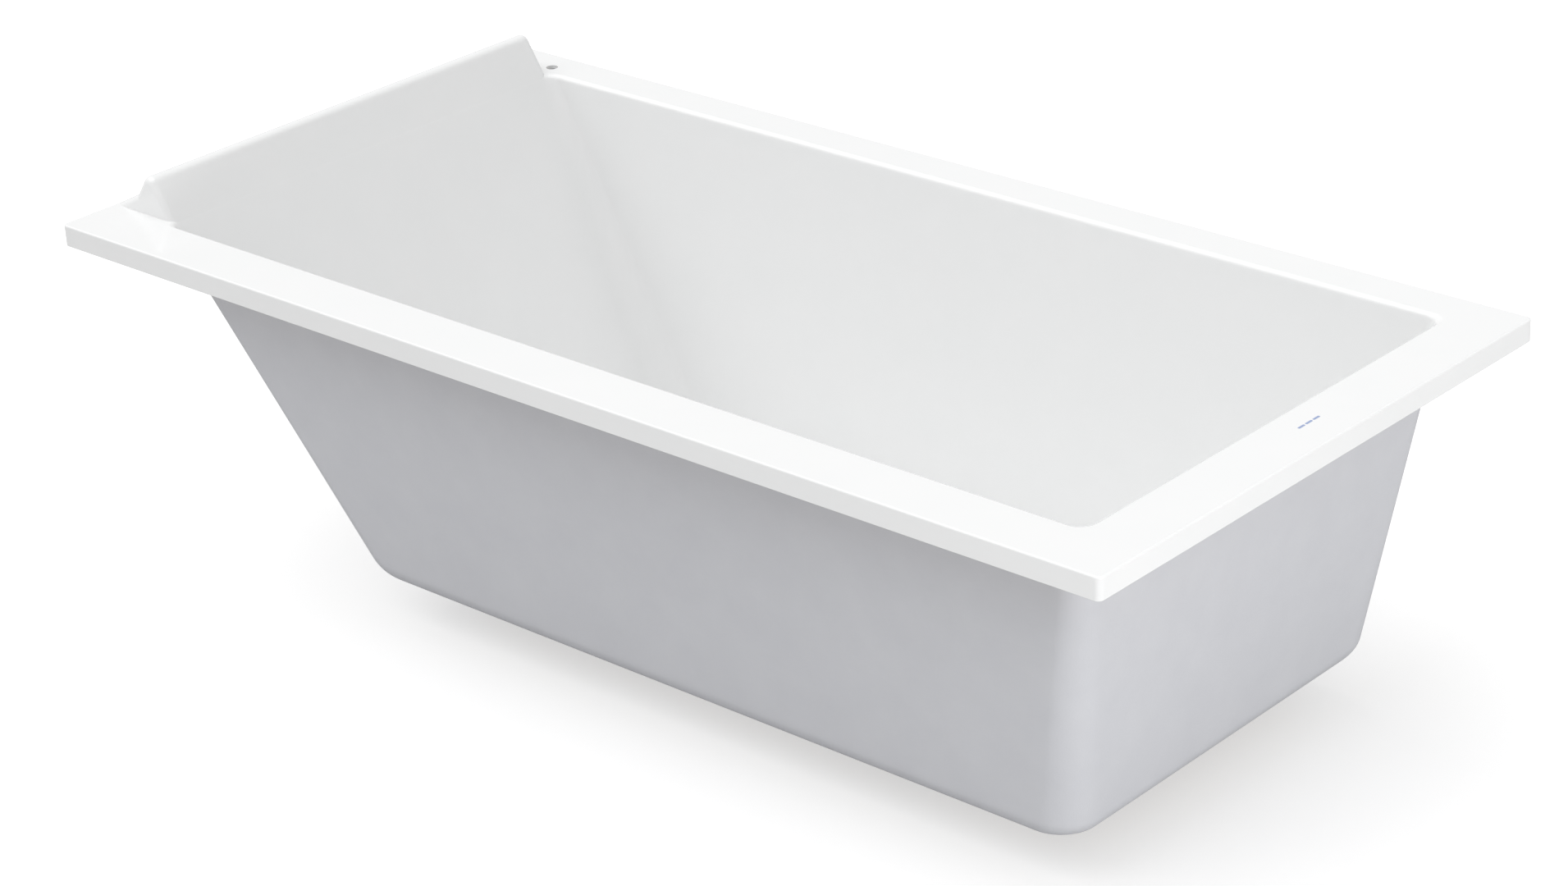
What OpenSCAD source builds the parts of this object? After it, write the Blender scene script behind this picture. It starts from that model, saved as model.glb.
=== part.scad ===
// Built-in rectangular bathtub with one sloping backrest that rises above the rim.
// X runs along the tub, from the head end (-X) to the foot end (+X).
// Y runs across it, Z is up, and the origin is on the floor under the rim's centre.

/* [Overall] */
// Length over the rim
tub_l = 1800; // [1600:10:2000]
// Width over the rim
tub_w = 900; // [750:10:1000]
// Depth from the top of the rim to the underside of the body
body_d = 480; // [400:5:560]
// Height of the body's underside above the floor
floor_gap = 58; // [58:1:76]

/* [Rim] */
// Width of the rim's flat top on the near side
rim_near = 82; // [60:1:110]
// Width of the rim's flat top on the far side
rim_far = 58; // [50:1:110]
// Width of the rim's flat top at the foot end
rim_foot = 83; // [60:1:110]
// Distance from the head edge to where the backrest's plane meets the rim's top
head_x = 120; // [110:1:150]
// Height of the turned-down apron
apron_h = 31; // [28:1:45]
// Plan radius of the rim's outer corners
rim_corner_r = 8; // [6:1:14]
// Radius of the rim's inner edge
rim_edge_r = 8; // [6:0.5:10]
// Radius of the small hole in the far side of the rim
rim_hole_r = 9; // [5:0.5:12]

/* [Basin] */
// Slope of the backrest from the vertical
back_slope = 32; // [24:1:36]
// Slope of the two long walls from the vertical
side_slope = 7; // [4:0.5:9]
// Slope of the foot wall from the vertical
foot_slope = 9; // [4:0.5:12]
// Radius between the walls and the floor
floor_r = 30; // [24:1:45]
// Corner radius at the rim, at the head end
head_corner_top = 18; // [14:1:45]
// Corner radius at the floor, at the head end
head_corner_low = 48; // [40:1:70]
// Corner radius at the rim, at the foot end
foot_corner_top = 25; // [20:1:40]
// Corner radius at the floor, at the foot end
foot_corner_low = 42; // [40:1:70]
// Fall of the floor towards the waste
floor_fall = 3; // [1:0.5:3]

/* [Headrest] */
// Height of the raised backrest above the rim
crest_h = 56; // [46:1:60]
// Radius of its crest
crest_r = 13; // [10:1:15]
// Distance from the head edge to the foot of its steep back
crest_back_x = 49; // [46:1:52]
// Height of the ramp there
ramp_h = 24; // [18:1:26]

/* [Sheet] */
// Thickness of the acrylic sheet
acrylic_t = 5; // [4:0.5:6]
// Thickness of the glass-fibre backing
backing_t = 3; // [2.5:0.5:4]
// Depth of the wooden battens under the rim
batten_h = 18; // [12:1:20]
// Width of the battens
batten_w = 26; // [18:1:34]

/* [Base] */
// Thickness of the chipboard base
board_t = 16; // [12:1:18]
// Distance from the head edge to the middle of the head-end leg rail
head_rail_x = 590; // [540:10:760]
// Distance between the two feet of one rail
foot_span = 350; // [300:10:380]
// Radius of the levelling feet's studs
stud_r = 5; // [4:0.5:6]
// Radius of the feet
foot_r = 25; // [20:1:28]

/* [Waste] */
// Distance from the foot edge of the rim to the waste
drain_x = 340; // [320:5:400]
// Radius of the waste's flange
flange_r = 35; // [33:1:40]
// Travel of the plug
plug_travel = 9; // [5:0.5:9]
// Radius of the outlet pipe
pipe_r = 18; // [16:0.5:18]

/* [Hidden] */
$fn = 64;

// Places
bond_gap = 0.3;                                   // glue line between two bonded layers
rim_z = floor_gap + body_d;                       // top of the rim
x_head = -tub_l / 2;
x_foot = tub_l / 2;
y_near = -tub_w / 2;
y_far = tub_w / 2;
mid_y = (rim_near - rim_far) / 2;                 // the basin's centre line
sheet_t = acrylic_t + bond_gap + backing_t;       // whole thickness of the body's wall
basin_d = body_d - sheet_t;                       // depth of the basin at its walls
corner_steps = 8;
wall_steps = 3;
edge_steps = 4;
lip_steps = 3;
fillet_steps = 6;
lip_r = 2.5;                                      // rounding of the rim's outer edge

// Where the straight walls would meet the rim's top
edge_run = rim_edge_r * tan((90 - side_slope) / 2);
edge_run_foot = rim_edge_r * tan((90 - foot_slope) / 2);
wall_near = rim_near + edge_run;
wall_far = rim_far + edge_run;
wall_foot = rim_foot + edge_run_foot;

// Places along the tub, on its base and under its rim
drain_at = [x_foot - drain_x, mid_y];
hole_from_head = 104;
hole_from_far = 43;
hole_at = [x_head + hole_from_head, y_far - hole_from_far];
drain_flat_r = 60;                                // flat patch of floor about the waste
drain_hole_r = 26;
crest_side = 12;                                  // from the basin's edge to the raised backrest's end
crest_root = 4.5;                                 // how far it reaches down into the sheet
crest_steps = 8;
toe_x = 2;                                        // its ramp starts here, from the head edge
flange_inset = acrylic_t + 1;                     // edge of the backing inside the apron
batten_inset = acrylic_t + bond_gap;              // the battens stand against the apron's inside
batten_short = 12;                                // side battens stop this far from the rim's ends
batten_joint = 4;                                 // gap between a side batten and an end batten

// Heights and sizes of the base
board_top = floor_gap - floor_fall - bond_gap;
waste_to_rail = 130;                              // from the waste to the foot-end leg rail
rails = [x_head + head_rail_x, drain_at[0] - waste_to_rail];
board_half = 235;
board_past_rail = 50;
board_past_waste = 110;
board_x0 = rails[0] - board_past_rail;
board_x1 = drain_at[0] + board_past_waste;
cutout_r = 60;
slot_half = 34;
rail_top = board_top - board_t - bond_gap;
rail_h = 13;
rail_w = 34;
rail_l = foot_span + 100;
steel_t = 2;
screw_offsets = [-28, 28];
screw_r = 2.2;
screw_l = 10;
stud_room = 12;                                   // hole in the board above each stud
thread_gap = 0.06;
nut_h = 6;
nut_r = stud_r + 5;
pad_h = 4;
foot_t = 4;

// Heights and sizes of the waste
basin_floor = rim_z - basin_d - floor_fall;
seal_t = 1;
flange_t = 2.5;
neck_r = 24;
neck_wall = 4;
spoke_w = 3;
fit_gap = 0.06;
hub_z = floor_gap - 22;
hub_h = 7;
cartridge_r = 9;
hub_r = cartridge_r + 4;
cartridge_z = hub_z - 8;
cartridge_top = basin_floor + seal_t - 1;
guide_h = 3;
case_wall = 1.8;
collar_t = 2.5;
stem_r = 4;
cap_z = basin_floor + seal_t + flange_t + 0.1;
ring_t = 2.4;                                     // rubber ring under the plug's cap
cap_rim = 2;
cap_dome = 3;
collar_z = cartridge_top - guide_h - plug_travel - collar_t - 1;
body_r = 33;
body_wall = 3;
body_lip = 4;
thread_l = 8;
gasket_t = 3;
body_top = board_top - gasket_t;
body_z = floor_gap - 50;
outlet_z = body_z + 21;
tail_r = pipe_r - 1;                              // slimmer end of the outlet pipe, in the socket
pipe_wall = 1.5;
pipe_l = 85;
spigot_r = tail_r + 3;
spigot_end = 66;
socket_l = 20;
tail_in = socket_l - 1;
cone_t = 3;
nut_grip = 10;
nut_lip = 3;
nut_lip_gap = 0.2;
nut_wall = 3.5;
tail_l = tail_in + cone_t + nut_lip + 1;

// Horizontal distance of a layer's wall from where the basin's wall meets the rim's top, at depth d.
// off is how far the layer lies behind the basin's surface, and depth is that of its floor.
// It is a straight slope down to the round between wall and floor.
function wall_run(d, slope, off, depth) =
    let (r = floor_r + off,
         centre_d = depth - r,
         centre_run = centre_d * tan(slope) + floor_r / cos(slope))
    d > centre_d + r * sin(slope)
        ? centre_run - sqrt(max(0, r * r - pow(d - centre_d, 2)))
        : d * tan(slope) - off / cos(slope);

// Width that the rounded inner edge of the rim takes off at depth d
function edge_cut(d, slope) =
    d >= rim_edge_r * (1 - sin(slope))
        ? 0
        : rim_edge_r * tan((90 - slope) / 2) + d * tan(slope)
          - sqrt(max(0, rim_edge_r * rim_edge_r - pow(rim_edge_r - d, 2)));

// One closed outline with round corners: radius rh at the head end and rf at the foot end
function outline(xh, xf, yn, yf, rh, rf, z) =
    [for (c = [[xf - rf, yf - rf, rf, 0], [xh + rh, yf - rh, rh, 90],
               [xh + rh, yn + rh, rh, 180], [xf - rf, yn + rf, rf, 270]],
          i = [0:corner_steps])
        let (a = c[3] + 90 * i / corner_steps)
            [c[0] + c[2] * cos(a), c[1] + c[2] * sin(a), z]];

// The rim's outline, drawn in by inset
function rim_outline(inset, z) =
    let (r = max(0.5, rim_corner_r - inset))
    outline(x_head + inset, x_foot - inset, y_near + inset, y_far - inset, r, r, z);

// A layer's outline at depth d, with the rim's rounded inner edge where rounded is 1
function basin_outline(d, off, rounded) =
    let (depth = basin_d + off,
         k = d / depth,
         side_in = wall_run(d, side_slope, off, depth) - rounded * edge_cut(d, side_slope),
         foot_in = wall_run(d, foot_slope, off, depth) - rounded * edge_cut(d, foot_slope),
         head_in = wall_run(d, back_slope, off, depth) - rounded * edge_cut(d, back_slope),
         rh = head_corner_top + k * (head_corner_low - head_corner_top) + off,
         rf = foot_corner_top + k * (foot_corner_low - foot_corner_top) + off)
    outline(x_head + head_x + head_in, x_foot - wall_foot - foot_in, y_near + wall_near + side_in,
            y_far - wall_far - side_in, rh, rf, rim_z - d);

// Depths of a layer's outlines, from from_d down to its floor
function layer_depths(from_d, off) =
    let (r = floor_r + off,
         round_d = basin_d - floor_r + r * sin(side_slope))
    concat([for (i = [0:wall_steps]) from_d + (round_d - from_d) * i / wall_steps],
           [for (i = [1:fillet_steps])
               basin_d - floor_r + r * sin(side_slope + (90 - side_slope) * i / fillet_steps)]);

// The flat round patch of floor about the waste
function drain_outline(off) =
    outline(drain_at[0] - drain_flat_r, drain_at[0] + drain_flat_r, drain_at[1] - drain_flat_r,
            drain_at[1] + drain_flat_r, drain_flat_r - 1, drain_flat_r - 1,
            rim_z - basin_d - off - floor_fall);

function reversed(list) = [for (i = [len(list) - 1:-1:0]) list[i]];

// A layer's upper surface from its floor out to the rim, and its lower surface back to the floor
function upper_loops(off, from_d) =
    concat([drain_outline(off)], reversed([for (d = layer_depths(from_d, off)) basin_outline(d, off, 0)]));
function lower_loops(off) = reversed(upper_loops(off, off));

// Closes a run of outlines into one solid, capped at both ends
module skin(loops) {
    n = len(loops[0]);
    last = (len(loops) - 1) * n;
    sides = [for (j = [0:len(loops) - 2], i = [0:n - 1])
                let (a = j * n, b = a + n, k = (i + 1) % n)
                    each [[a + i, a + k, b + k], [a + i, b + k, b + i]]];
    polyhedron([for (l = loops) each l],
               concat([[for (i = [n - 1:-1:0]) i]], sides, [[for (i = [0:n - 1]) last + i]]));
}

// Outline of the raised backrest in the X-Z plane, moved inwards by k and cut off at low_z.
// It is a ramp, a steep back, a round crest and the backrest's own plane.
function crest_profile(k, low_z) =
    let (ramp_a = atan2(ramp_h, crest_back_x - toe_x),
         centre_z = crest_h - crest_r,
         centre_x = head_x - centre_z * tan(back_slope) - crest_r / cos(back_slope),
         away = [centre_x - crest_back_x, centre_z - ramp_h],
         back_a = atan2(away[1], away[0]) + asin(crest_r / norm(away)),
         n1 = [sin(ramp_a), -cos(ramp_a)],
         n2 = [sin(back_a), -cos(back_a)],
         bend = [crest_back_x, ramp_h] + k * (n1 + n2) / (1 + n1 * n2),
         front = head_x - low_z * tan(back_slope) - k / cos(back_slope))
    concat([[toe_x + k, low_z], [toe_x + k, bend[1] - (bend[0] - toe_x - k) * tan(ramp_a)], bend],
           [for (i = [crest_steps:-1:0])
               let (a = back_slope + (back_a + 90 - back_slope) * i / crest_steps)
                   [centre_x + (crest_r - k) * cos(a), centre_z + (crest_r - k) * sin(a)]],
           [[front, low_z]]);

// The raised backrest, or its hollow when k is the sheet's thickness
module crest(k, low_z) {
    y0 = y_near + rim_near + crest_side + k;
    y1 = y_far - rim_far - crest_side - k;
    translate([x_head, y1, rim_z])
        rotate([90, 0, 0])
            linear_extrude(y1 - y0)
                polygon(crest_profile(k, low_z));
}

// A round bar, or a tube when a bore is given, standing on z
module bar(r, z0, z1, bore = 0) {
    translate([0, 0, z0])
        difference() {
            cylinder(r = r, h = z1 - z0);
            if (bore > 0)
                translate([0, 0, -1])
                    cylinder(r = bore, h = z1 - z0 + 2);
        }
}

// Shell of the tub: basin, rim, apron and raised backrest drawn from one sheet
module acrylic_shell() {
    lip = [for (i = [0:lip_steps])
              let (a = 90 * i / lip_steps)
                  rim_outline(lip_r * (1 - sin(a)), rim_z - lip_r * (1 - cos(a)))];
    edge = [for (i = [edge_steps:-1:0])
               basin_outline(rim_edge_r * (1 - cos((90 - side_slope) * i / edge_steps)), 0, 1)];
    edge_d = rim_edge_r * (1 - sin(side_slope));
    color("white")
        difference() {
            union() {
                skin(concat(upper_loops(0, edge_d + 2), edge, lip,
                            [rim_outline(0, rim_z - apron_h), rim_outline(acrylic_t, rim_z - apron_h),
                             rim_outline(acrylic_t, rim_z - acrylic_t)],
                            lower_loops(acrylic_t)));
                crest(0, -crest_root);
            }
            crest(acrylic_t, -acrylic_t - 1);
            translate([drain_at[0], drain_at[1], rim_z - basin_d - acrylic_t - floor_fall - 1])
                cylinder(r = drain_hole_r, h = acrylic_t + 2);
            translate([hole_at[0], hole_at[1], rim_z - acrylic_t - 1])
                cylinder(r = rim_hole_r, h = acrylic_t + 2);
        }
}

// Glass-fibre and resin layer behind the shell: the grey outside of the body
module glassfibre_backing() {
    top = acrylic_t + bond_gap;
    color("lightslategray")
        difference() {
            union() {
                skin(concat(upper_loops(top, top),
                            [rim_outline(flange_inset, rim_z - top), rim_outline(flange_inset, rim_z - sheet_t)],
                            lower_loops(sheet_t)));
                crest(top, -top - 1);
            }
            crest(sheet_t, -sheet_t - 1);
            translate([drain_at[0], drain_at[1], board_top - 1])
                cylinder(r = drain_hole_r, h = sheet_t + floor_fall);
            translate([hole_at[0], hole_at[1], rim_z - sheet_t - 1])
                cylinder(r = rim_hole_r + 2, h = backing_t + 2);
        }
}

// Chipboard stiffener under the floor, cut away round the waste and its outlet
module base_board() {
    color("burlywood")
        difference() {
            translate([board_x0, mid_y - board_half, board_top - board_t])
                cube([board_x1 - board_x0, 2 * board_half, board_t]);
            translate([drain_at[0], drain_at[1], board_top - board_t - 1])
                cylinder(r = cutout_r, h = board_t + 2);
            translate([drain_at[0] - slot_half, drain_at[1], board_top - board_t - 1])
                cube([2 * slot_half, board_half + 1, board_t + 2]);
            for (x = rails, s = [-1, 1]) {
                translate([x, mid_y + s * foot_span / 2, board_top - board_t - 1])
                    cylinder(r = stud_r + 2, h = stud_room + 1);
                for (t = screw_offsets)
                    translate([x, mid_y + s * (foot_span / 2 + t), board_top - board_t - 1])
                        cylinder(r = screw_r + 0.05, h = screw_l + 1.5);
            }
        }
}

// One wooden batten glued under the rim, against the inside of the apron
module batten(x0, x1, y0, y1) {
    color("tan")
        translate([x0, y0, rim_z - sheet_t - bond_gap - batten_h])
            cube([x1 - x0, y1 - y0, batten_h]);
}
module side_batten(y0) { batten(x_head + batten_short, x_foot - batten_short, y0, y0 + batten_w); }
module end_batten(x0) {
    run = batten_inset + batten_w + batten_joint;
    batten(x0, x0 + batten_w, y_near + run, y_far - run);
}
module batten_near() { side_batten(y_near + batten_inset); }
module batten_far() { side_batten(y_far - batten_inset - batten_w); }
module batten_foot() { end_batten(x_foot - batten_inset - batten_w); }
module batten_head() { end_batten(x_head + batten_inset); }

// Steel channel under the board, open downwards, with two holes for the feet
module leg_rail(x) {
    color("silver")
        difference() {
            translate([x - rail_w / 2, mid_y - rail_l / 2, rail_top - rail_h])
                cube([rail_w, rail_l, rail_h]);
            translate([x - rail_w / 2 + steel_t, mid_y - rail_l / 2 - 1, rail_top - rail_h - 1])
                cube([rail_w - 2 * steel_t, rail_l + 2, rail_h - steel_t + 1]);
            for (s = [-1, 1]) {
                translate([x, mid_y + s * foot_span / 2, rail_top - steel_t - 1])
                    cylinder(r = stud_r + 1, h = steel_t + 2);
                for (t = screw_offsets)
                    translate([x, mid_y + s * (foot_span / 2 + t), rail_top - steel_t - 1])
                        cylinder(r = screw_r + 0.05, h = steel_t + 2);
            }
        }
}
module leg_rail_head() { leg_rail(rails[0]); }
module leg_rail_foot() { leg_rail(rails[1]); }

// Wood screws that hold the rails to the board
module rail_screws() {
    color("gray")
        for (x = rails, s = [-1, 1], t = screw_offsets)
            translate([x, mid_y + s * (foot_span / 2 + t), 0]) {
                bar(screw_r, rail_top - steel_t - 0.5, rail_top + bond_gap + screw_l);
                bar(2 * screw_r, rail_top - steel_t - 2, rail_top - steel_t);
            }
}

// Repeats its children at the four feet
module at_feet() {
    for (x = rails, s = [-1, 1])
        translate([x, mid_y + s * foot_span / 2, 0])
            children();
}

// Threaded bushes welded inside the rails
module threaded_bushes() {
    color("dimgray")
        at_feet() bar(stud_r + 4, rail_top - rail_h, rail_top - steel_t, stud_r + thread_gap);
}

// Hexagon lock nuts under the bushes
module lock_nuts() {
    color("gray")
        at_feet()
            translate([0, 0, rail_top - rail_h - nut_h])
                difference() {
                    cylinder(r = nut_r, h = nut_h - 0.1, $fn = 6);
                    translate([0, 0, -1])
                        cylinder(r = stud_r + thread_gap, h = nut_h + 2);
                }
}

// One levelling foot: a threaded stud with a round foot, set by turning it
module levelling_foot(x, s) {
    color("silver")
        translate([x, mid_y + s * foot_span / 2, 0]) {
            bar(stud_r, pad_h, board_top - board_t + stud_room - 1);
            bar(foot_r, pad_h, pad_h + foot_t);
            bar(stud_r + 3, pad_h, pad_h + foot_t + 1);
        }
}
module foot_head_near() { levelling_foot(rails[0], -1); }
module foot_head_far() { levelling_foot(rails[0], 1); }
module foot_foot_near() { levelling_foot(rails[1], -1); }
module foot_foot_far() { levelling_foot(rails[1], 1); }

// Rubber pad under a foot
module pad(x, s) {
    color("dimgray")
        translate([x, mid_y + s * foot_span / 2, 0])
            bar(foot_r, 0, pad_h);
}
module pad_head_near() { pad(rails[0], -1); }
module pad_head_far() { pad(rails[0], 1); }
module pad_foot_near() { pad(rails[1], -1); }
module pad_foot_far() { pad(rails[1], 1); }

// Puts its children at the waste
module at_drain() {
    translate([drain_at[0], drain_at[1], 0])
        children();
}

// Flange and threaded neck of the waste, with three spokes that carry the cartridge's hub
module drain_flange() {
    color("lightgray")
        at_drain() {
            difference() {
                union() {
                    bar(flange_r, basin_floor + seal_t, basin_floor + seal_t + flange_t);
                    bar(neck_r, hub_z, basin_floor + seal_t + 0.5);
                }
                bar(neck_r - neck_wall, hub_z - 1, basin_floor + seal_t + flange_t + 1);
            }
            bar(hub_r, hub_z, hub_z + hub_h, cartridge_r + fit_gap);
            for (a = [90, 210, 330])
                rotate([0, 0, a])
                    translate([cartridge_r + 2, -spoke_w / 2, hub_z])
                        cube([neck_r - cartridge_r - neck_wall, spoke_w, hub_h]);
        }
}

// Rubber ring between the flange and the floor
module flange_seal() {
    color("dimgray")
        at_drain() bar(flange_r - 1, basin_floor, basin_floor + seal_t, drain_hole_r);
}

// Rubber ring between the backing and the waste's body
module drain_gasket() {
    color("dimgray")
        at_drain() bar(body_r + body_lip, body_top, board_top, drain_hole_r);
}

// Body of the waste: a cup that screws onto the neck, with a side outlet
module drain_body() {
    color("whitesmoke")
        at_drain()
            difference() {
                union() {
                    bar(body_r + body_lip, body_top - body_wall, body_top);
                    bar(body_r, body_z, body_top - body_wall);
                    translate([0, body_r - 2 * body_wall, outlet_z])
                        rotate([-90, 0, 0])
                            cylinder(r = spigot_r, h = spigot_end - body_r + 2 * body_wall);
                }
                bar(body_r - body_wall, body_z + body_wall, body_top - thread_l);
                bar(neck_r + fit_gap, body_top - thread_l - 1, body_top + 1);
                translate([0, 0, outlet_z])
                    rotate([-90, 0, 0])
                        cylinder(r = tail_r - pipe_wall, h = spigot_end + 1);
                translate([0, spigot_end - socket_l, outlet_z])
                    rotate([-90, 0, 0])
                        cylinder(r = tail_r + fit_gap, h = socket_l + 1);
            }
}

// Case of the push-to-open mechanism, screwed into the flange's hub
module click_cartridge() {
    color("goldenrod")
        at_drain()
            difference() {
                bar(cartridge_r, cartridge_z, cartridge_top);
                bar(cartridge_r - case_wall, cartridge_z + case_wall, cartridge_top - guide_h);
                bar(stem_r + fit_gap, cartridge_top - guide_h - 1, cartridge_top + 1);
            }
}

// Coil spring inside the cartridge
module click_spring() {
    turns = 4;
    wire = 0.5;
    coil_r = cartridge_r - 3;
    steps = 12 * turns;
    low = cartridge_z + case_wall + 0.1 + wire;
    high = collar_z - 0.1 - wire;
    loops = [for (i = [0:steps])
                let (a = 30 * i, c = [coil_r * cos(a), coil_r * sin(a), low + (high - low) * i / steps])
                    [for (j = [0:5])
                        c + wire * [cos(60 * j) * cos(a), cos(60 * j) * sin(a), sin(60 * j)]]];
    color("silver")
        at_drain() skin(loops);
}

// Stem of the plug, with the collar that the spring lifts
module plug_stem() {
    color("goldenrod")
        at_drain() {
            bar(stem_r, collar_z, cap_z);
            bar(cartridge_r - case_wall - 0.3, collar_z, collar_z + collar_t);
        }
}

// Rubber ring under the plug's cap
module plug_seal() {
    color("dimgray")
        at_drain() bar(neck_r - neck_wall - 0.4, cap_z - ring_t, cap_z, neck_r - 2 * neck_wall);
}

// Domed cap of the plug
module plug_cap() {
    cap_r = flange_r - 4;
    dome_r = (cap_r * cap_r + cap_dome * cap_dome) / (2 * cap_dome);
    color("lightgray")
        at_drain()
            translate([0, 0, cap_z])
                rotate_extrude()
                    polygon(concat([[0, 0], [cap_r, 0]],
                                   [for (i = [0:8])
                                       let (a = asin(cap_r / dome_r) * (1 - i / 8))
                                           [dome_r * sin(a), cap_rim + dome_r * (cos(a) - 1) + cap_dome]]));
}

// Runs its children along the outlet, from the waste's axis towards the far side
module along_outlet(y) {
    translate([drain_at[0], drain_at[1] + y, outlet_z])
        rotate([-90, 0, 0])
            children();
}

// Union nut that holds the outlet pipe
module outlet_nut() {
    color("whitesmoke")
        along_outlet(spigot_end - nut_grip)
            difference() {
                cylinder(r = spigot_r + nut_wall, h = nut_grip + cone_t + nut_lip);
                translate([0, 0, -1])
                    cylinder(r = spigot_r + fit_gap, h = 1 + nut_grip + cone_t);
                cylinder(r = tail_r + nut_lip_gap, h = nut_grip + cone_t + nut_lip + 1);
            }
}

// Rubber ring that the nut squeezes round the pipe
module outlet_seal() {
    color("dimgray")
        along_outlet(spigot_end)
            difference() {
                cylinder(r = spigot_r, h = cone_t);
                translate([0, 0, -1])
                    cylinder(r = tail_r, h = cone_t + 2);
            }
}

// Plain outlet pipe, ready for the house's waste
module outlet_pipe() {
    color("whitesmoke")
        along_outlet(spigot_end - tail_in)
            difference() {
                union() {
                    cylinder(r = tail_r, h = tail_l);
                    translate([0, 0, tail_l])
                        cylinder(r = pipe_r, h = pipe_l);
                }
                translate([0, 0, -1])
                    cylinder(r = tail_r - pipe_wall, h = tail_l + pipe_l + 2);
            }
}

acrylic_shell();
glassfibre_backing();
base_board();
batten_near();
batten_far();
batten_foot();
batten_head();
leg_rail_head();
leg_rail_foot();
rail_screws();
threaded_bushes();
lock_nuts();
foot_head_near();
foot_head_far();
foot_foot_near();
foot_foot_far();
pad_head_near();
pad_head_far();
pad_foot_near();
pad_foot_far();
drain_flange();
flange_seal();
drain_gasket();
drain_body();
click_cartridge();
click_spring();
plug_stem();
plug_seal();
plug_cap();
outlet_nut();
outlet_seal();
outlet_pipe();
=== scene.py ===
import bmesh
import bpy
import numpy as np
from mathutils import Matrix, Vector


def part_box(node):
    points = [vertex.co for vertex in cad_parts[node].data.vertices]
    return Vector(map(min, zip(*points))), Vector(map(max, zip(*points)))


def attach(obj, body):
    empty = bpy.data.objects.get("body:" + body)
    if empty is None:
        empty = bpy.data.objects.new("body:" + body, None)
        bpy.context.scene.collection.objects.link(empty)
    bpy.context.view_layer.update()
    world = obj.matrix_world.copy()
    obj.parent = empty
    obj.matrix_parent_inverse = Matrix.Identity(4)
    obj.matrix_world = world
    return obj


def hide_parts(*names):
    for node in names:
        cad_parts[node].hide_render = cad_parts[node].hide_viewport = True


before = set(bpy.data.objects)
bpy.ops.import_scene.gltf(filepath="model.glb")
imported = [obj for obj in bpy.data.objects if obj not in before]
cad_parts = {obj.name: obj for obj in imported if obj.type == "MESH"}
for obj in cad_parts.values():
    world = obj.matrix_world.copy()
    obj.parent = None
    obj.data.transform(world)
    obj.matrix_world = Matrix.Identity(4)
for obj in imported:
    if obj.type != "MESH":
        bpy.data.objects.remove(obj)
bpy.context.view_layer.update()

# ---- Acrylic shell -------------------------------------------------------------------------
# The tub's skin is one 5 mm sheet of cast sanitary acrylic, heated and drawn by vacuum over a
# mould. Basin, rim and turned-down apron are that one sheet, so every edge on it is a soft round.

mm = 0.001
low, high = (np.array(corner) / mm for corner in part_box("acrylic_shell"))
head_edge, near_edge = low[:2]
foot_edge, far_edge = high[:2]
sheet, backing_t, bond = 5.0, 3.0, 0.3
rim_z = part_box("batten_near")[1].z / mm + bond + backing_t + bond + sheet
basin_d = 471.7
floor_r = 30.0
edge_r = 8.0
lip_r = 2.5
apron_h = 31.0
floor_fall = 3.0
back_slope, side_slope, foot_slope = 32.0, 7.0, 9.0
rim_near, rim_far, rim_foot, rim_corner_r = 82.0, 58.0, 83.0, 8.0
head_x = 120.0
# plan radii of the basin's corners at the rim, and what they gain down to the floor
head_corner, head_gain = 18, 30
foot_corner, foot_gain = 25, 17
waste_x, waste_y = (np.array(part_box("drain_flange")).mean(0) / mm)[:2]
waste_r = 26.0
hole_x, hole_y, hole_r = head_edge + 104, far_edge - 43, 9.0
wall_near, wall_far = (width + edge_r * np.tan(np.radians(90 - side_slope) / 2) for width in (rim_near, rim_far))
wall_foot = rim_foot + edge_r * np.tan(np.radians(90 - foot_slope) / 2)


def linear(code, alpha=1.0):
    """An sRGB hex colour as linear numbers: each channel is divided by 255 and put through the sRGB curve."""
    c = np.array([int(code[i:i + 2], 16) for i in (1, 3, 5)]) / 255
    return (*np.where(c <= 0.04045, c / 12.92, ((c + 0.055) / 1.055) ** 2.4).tolist(), alpha)


def add(tree, kind, inputs=None, **settings):
    """Adds one shader node. inputs holds its sockets' values, or the outputs linked to them."""
    new = tree.nodes.new(kind)
    for key, value in settings.items():
        setattr(new, key, value)
    for key, value in (inputs or {}).items():
        if isinstance(value, bpy.types.NodeSocket):
            tree.links.new(value, new.inputs[key])
        else:
            new.inputs[key].default_value = value
    return new


def material(name, **surface):
    """A new material with one Principled shader, its plain values set. Gives the material, its tree,
    its shader and the piece's own coordinates."""
    made = bpy.data.materials.new(name)
    made.use_nodes = True
    tree = made.node_tree
    tree.nodes.clear()
    shader = add(tree, "ShaderNodeBsdfPrincipled", {key.replace("_", " "): v for key, v in surface.items()})
    add(tree, "ShaderNodeOutputMaterial", {"Surface": shader.outputs["BSDF"]})
    return made, tree, shader, add(tree, "ShaderNodeTexCoord").outputs["Object"]


def size(millimetres):
    """Scale of a pattern whose spots are that many millimetres across, on coordinates in metres."""
    return 1000.0 / millimetres


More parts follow.
